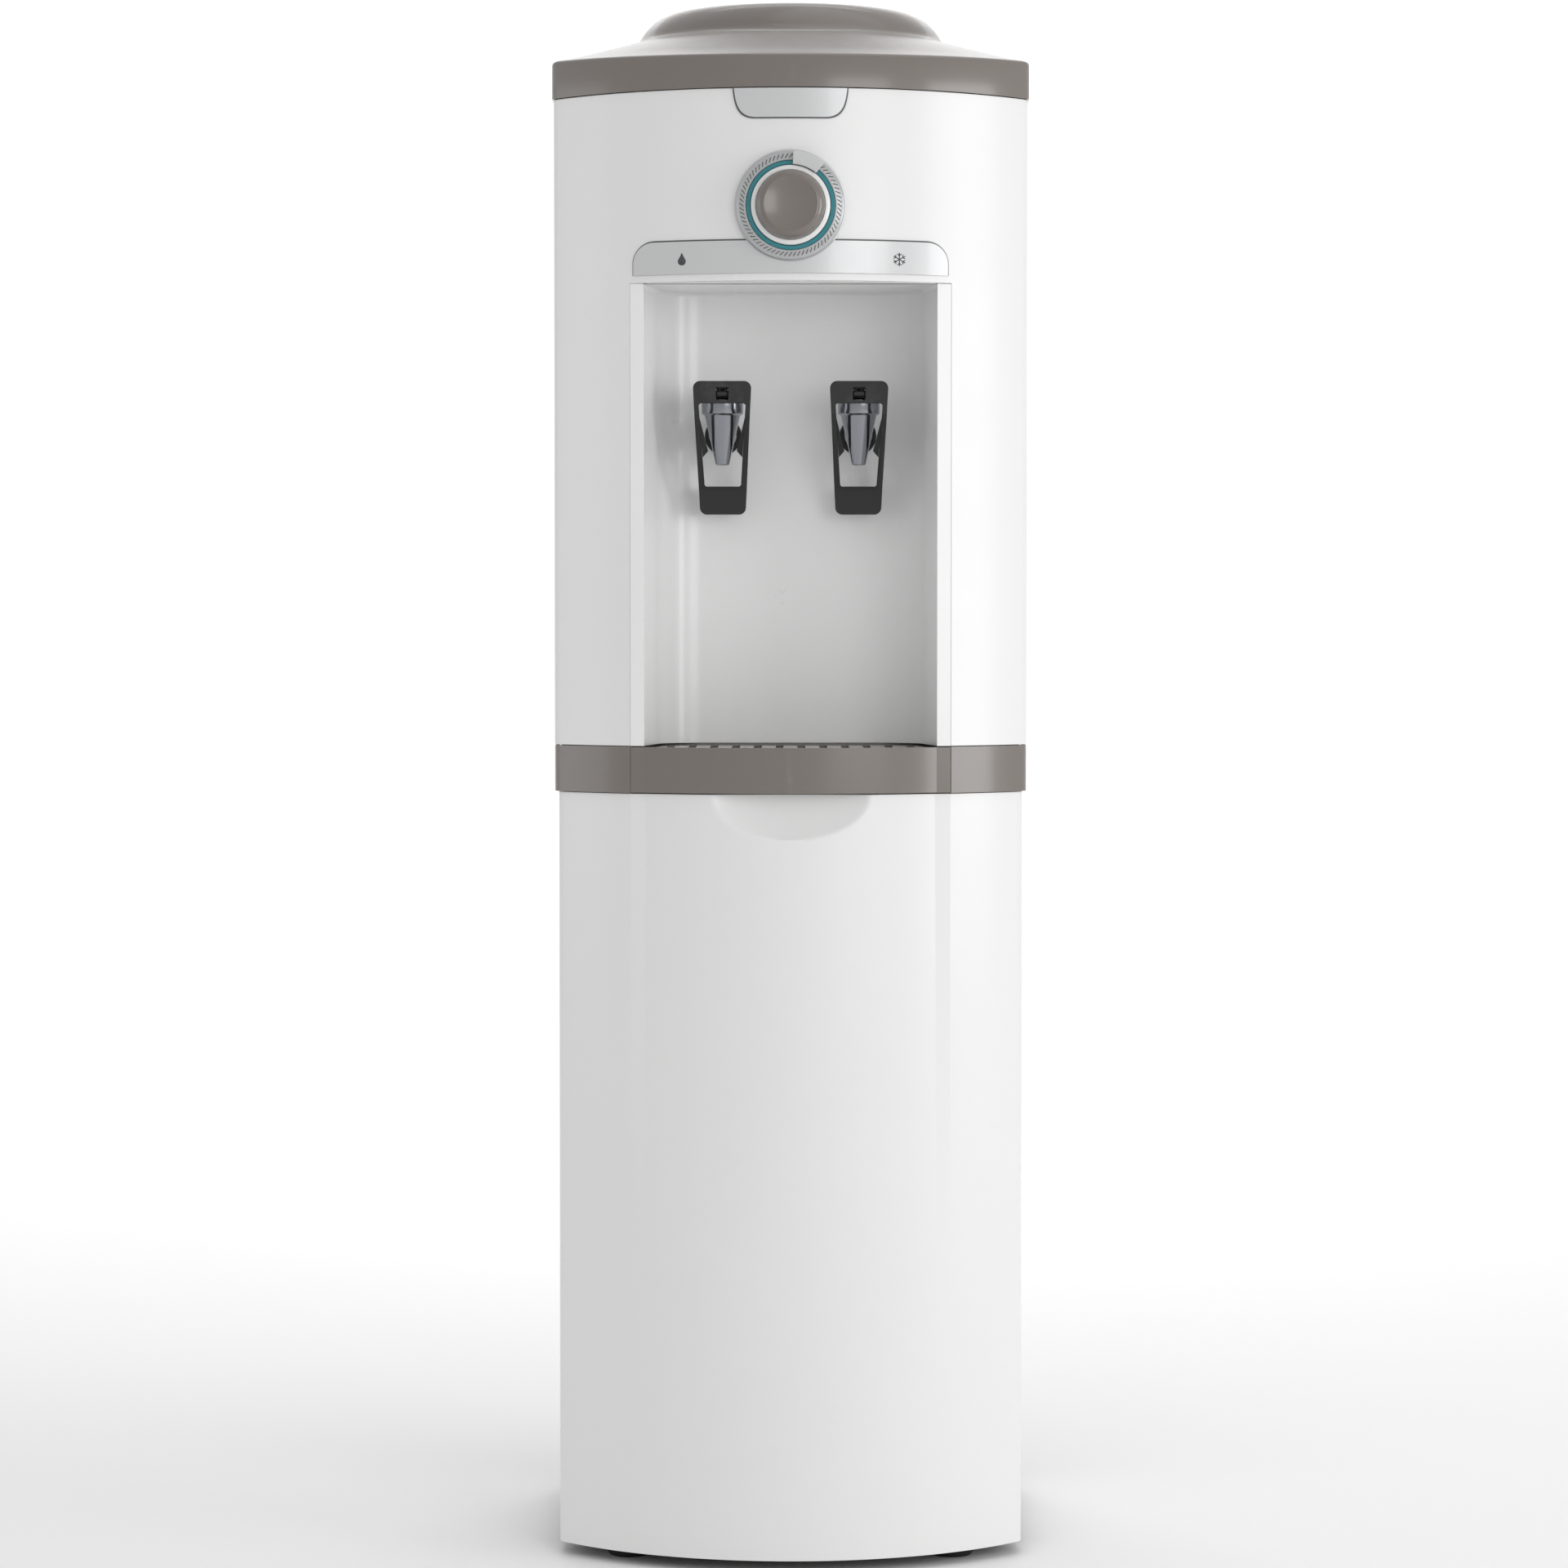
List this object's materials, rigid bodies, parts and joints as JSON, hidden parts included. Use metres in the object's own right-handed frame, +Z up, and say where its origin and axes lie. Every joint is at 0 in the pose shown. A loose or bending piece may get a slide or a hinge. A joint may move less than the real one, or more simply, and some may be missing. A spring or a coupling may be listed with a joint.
{
  "type": "bottled water dispenser",
  "caption": "Column water dispenser: bowed front, bottle collar on top, niche with lever taps over a drip tray, thermostat dial, cooled tank and a wire condenser behind.",
  "frame": {"origin": "on the floor, in the middle of the footprint", "axes": "+Z up, front faces -Y, +X to the right of someone who faces the dispenser's front"},
  "size_m": [0.3064, 0.336, 1],
  "materials": {
    "white_panel": "high-gloss white",
    "niche_white": "semi-gloss white",
    "white_sheet": "powder-coated white",
    "taupe": "satin warm grey",
    "silver_trim": "satin silver lacquer",
    "chrome": "polished",
    "black_plastic": "fine satin",
    "black_rubber": "matte",
    "galvanised": "spangled zinc",
    "black_steel": "black enamel",
    "copper": "drawn copper tube",
    "stainless": "brushed",
    "foam": "bead foam",
    "natural_plastic": "milky, unpigmented",
    "spring_steel": "drawn wire",
    "teal_print": "teal print"
  },
  "bodies": {
    "cabinet": {"lower_front_panel": "white_panel", "upper_front_panel": "white_panel", "niche_liner": "niche_white", "side_panel_left": "white_sheet", "side_panel_right": "white_sheet", "waist_band": "taupe", "top_cover": "taupe", "badge_plate": "silver_trim", "fascia_plate": "silver_trim", "dial_bezel": "silver_trim", "tap_body_left": "chrome", "tap_body_right": "chrome", "tap_bonnet_left": "black_plastic", "tap_bonnet_right": "black_plastic", "relay_cover": "black_plastic", "cord_gland": "black_plastic", "condenser_clip_upper_left": "black_plastic", "condenser_clip_upper_right": "black_plastic", "condenser_clip_lower_left": "black_plastic", "condenser_clip_lower_right": "black_plastic", "foot_front_left": "black_rubber", "foot_front_right": "black_rubber", "foot_rear_left": "black_rubber", "foot_rear_right": "black_rubber", "compressor_mount_1": "black_rubber", "compressor_mount_2": "black_rubber", "compressor_mount_3": "black_rubber", "compressor_mount_4": "black_rubber", "tap_gasket_left": "black_rubber", "tap_gasket_right": "black_rubber", "rear_panel": "galvanised", "thermostat": "galvanised", "base_pan": "black_steel", "compressor": "black_steel", "condenser": "black_steel", "evaporator_coil": "copper", "discharge_line": "copper", "suction_line": "copper", "filter_drier": "copper", "cold_tank": "stainless", "insulation_left": "foam", "insulation_right": "foam", "tank_lid": "natural_plastic", "hose_natural": "natural_plastic", "hose_cold": "natural_plastic", "tap_nut_left": "natural_plastic", "tap_nut_right": "natural_plastic", "tap_spring_left": "spring_steel", "tap_spring_right": "spring_steel"},
    "knob": {"knob_skirt": "white_panel", "knob_cap": "taupe", "knob_pointer": "silver_trim", "thermostat_shaft": "stainless"},
    "lever_left": {"tap_lever_left": "black_plastic"},
    "lever_right": {"tap_lever_right": "black_plastic"},
    "stem_left": {"tap_stem_left": "black_plastic"},
    "stem_right": {"tap_stem_right": "black_plastic"},
    "tray": {"drip_tray": "taupe"},
    "grille": {"drip_grille": "taupe"},
    "separator": {"bottle_separator": "natural_plastic"}
  },
  "joints": [
    {"name": "knob_turn", "type": "hinge", "parent": "cabinet", "child": "knob", "pos_m": [0, -0.15, 0.8638], "axis": [0, 1, 0], "range_deg": [-30, 240]},
    {"name": "tray_slide", "type": "slide", "parent": "cabinet", "child": "tray", "axis": [0, -1, 0], "range_m": [0, 0.11]},
    {"name": "grille_lift", "type": "slide", "parent": "tray", "child": "grille", "axis": [0, 0, 1], "range_m": [0, 0.03]},
    {"name": "separator_lift", "type": "slide", "parent": "cabinet", "child": "separator", "axis": [0, 0, 1], "range_m": [0, 0.12]},
    {"name": "lever_push_left", "type": "hinge", "parent": "cabinet", "child": "lever_left", "pos_m": [-0.0438, -0.0955, 0.749], "axis": [1, 0, 0], "range_deg": [0, 12], "stiffness_Nm_per_rad": 0.3, "springref_deg": -5.73},
    {"name": "stem_lift_left", "type": "slide", "parent": "cabinet", "child": "stem_left", "axis": [0, 0, 1], "range_m": [0, 0.0034], "stiffness_N_per_m": 0.2, "springref_m": 0.0396, "deforming": ["tap_spring_left"]},
    {"name": "lever_push_right", "type": "hinge", "parent": "cabinet", "child": "lever_right", "pos_m": [0.0438, -0.0955, 0.749], "axis": [1, 0, 0], "range_deg": [0, 12], "stiffness_Nm_per_rad": 0.3, "springref_deg": -5.73},
    {"name": "stem_lift_right", "type": "slide", "parent": "cabinet", "child": "stem_right", "axis": [0, 0, 1], "range_m": [0, 0.0034], "stiffness_N_per_m": 0.2, "springref_m": 0.0396, "deforming": ["tap_spring_right"]}
  ],
  "couplings": [
    {"joint": "stem_lift_left", "follows": "lever_push_left", "m_per_rad": 0.0155},
    {"joint": "stem_lift_right", "follows": "lever_push_right", "m_per_rad": 0.0155}
  ]
}
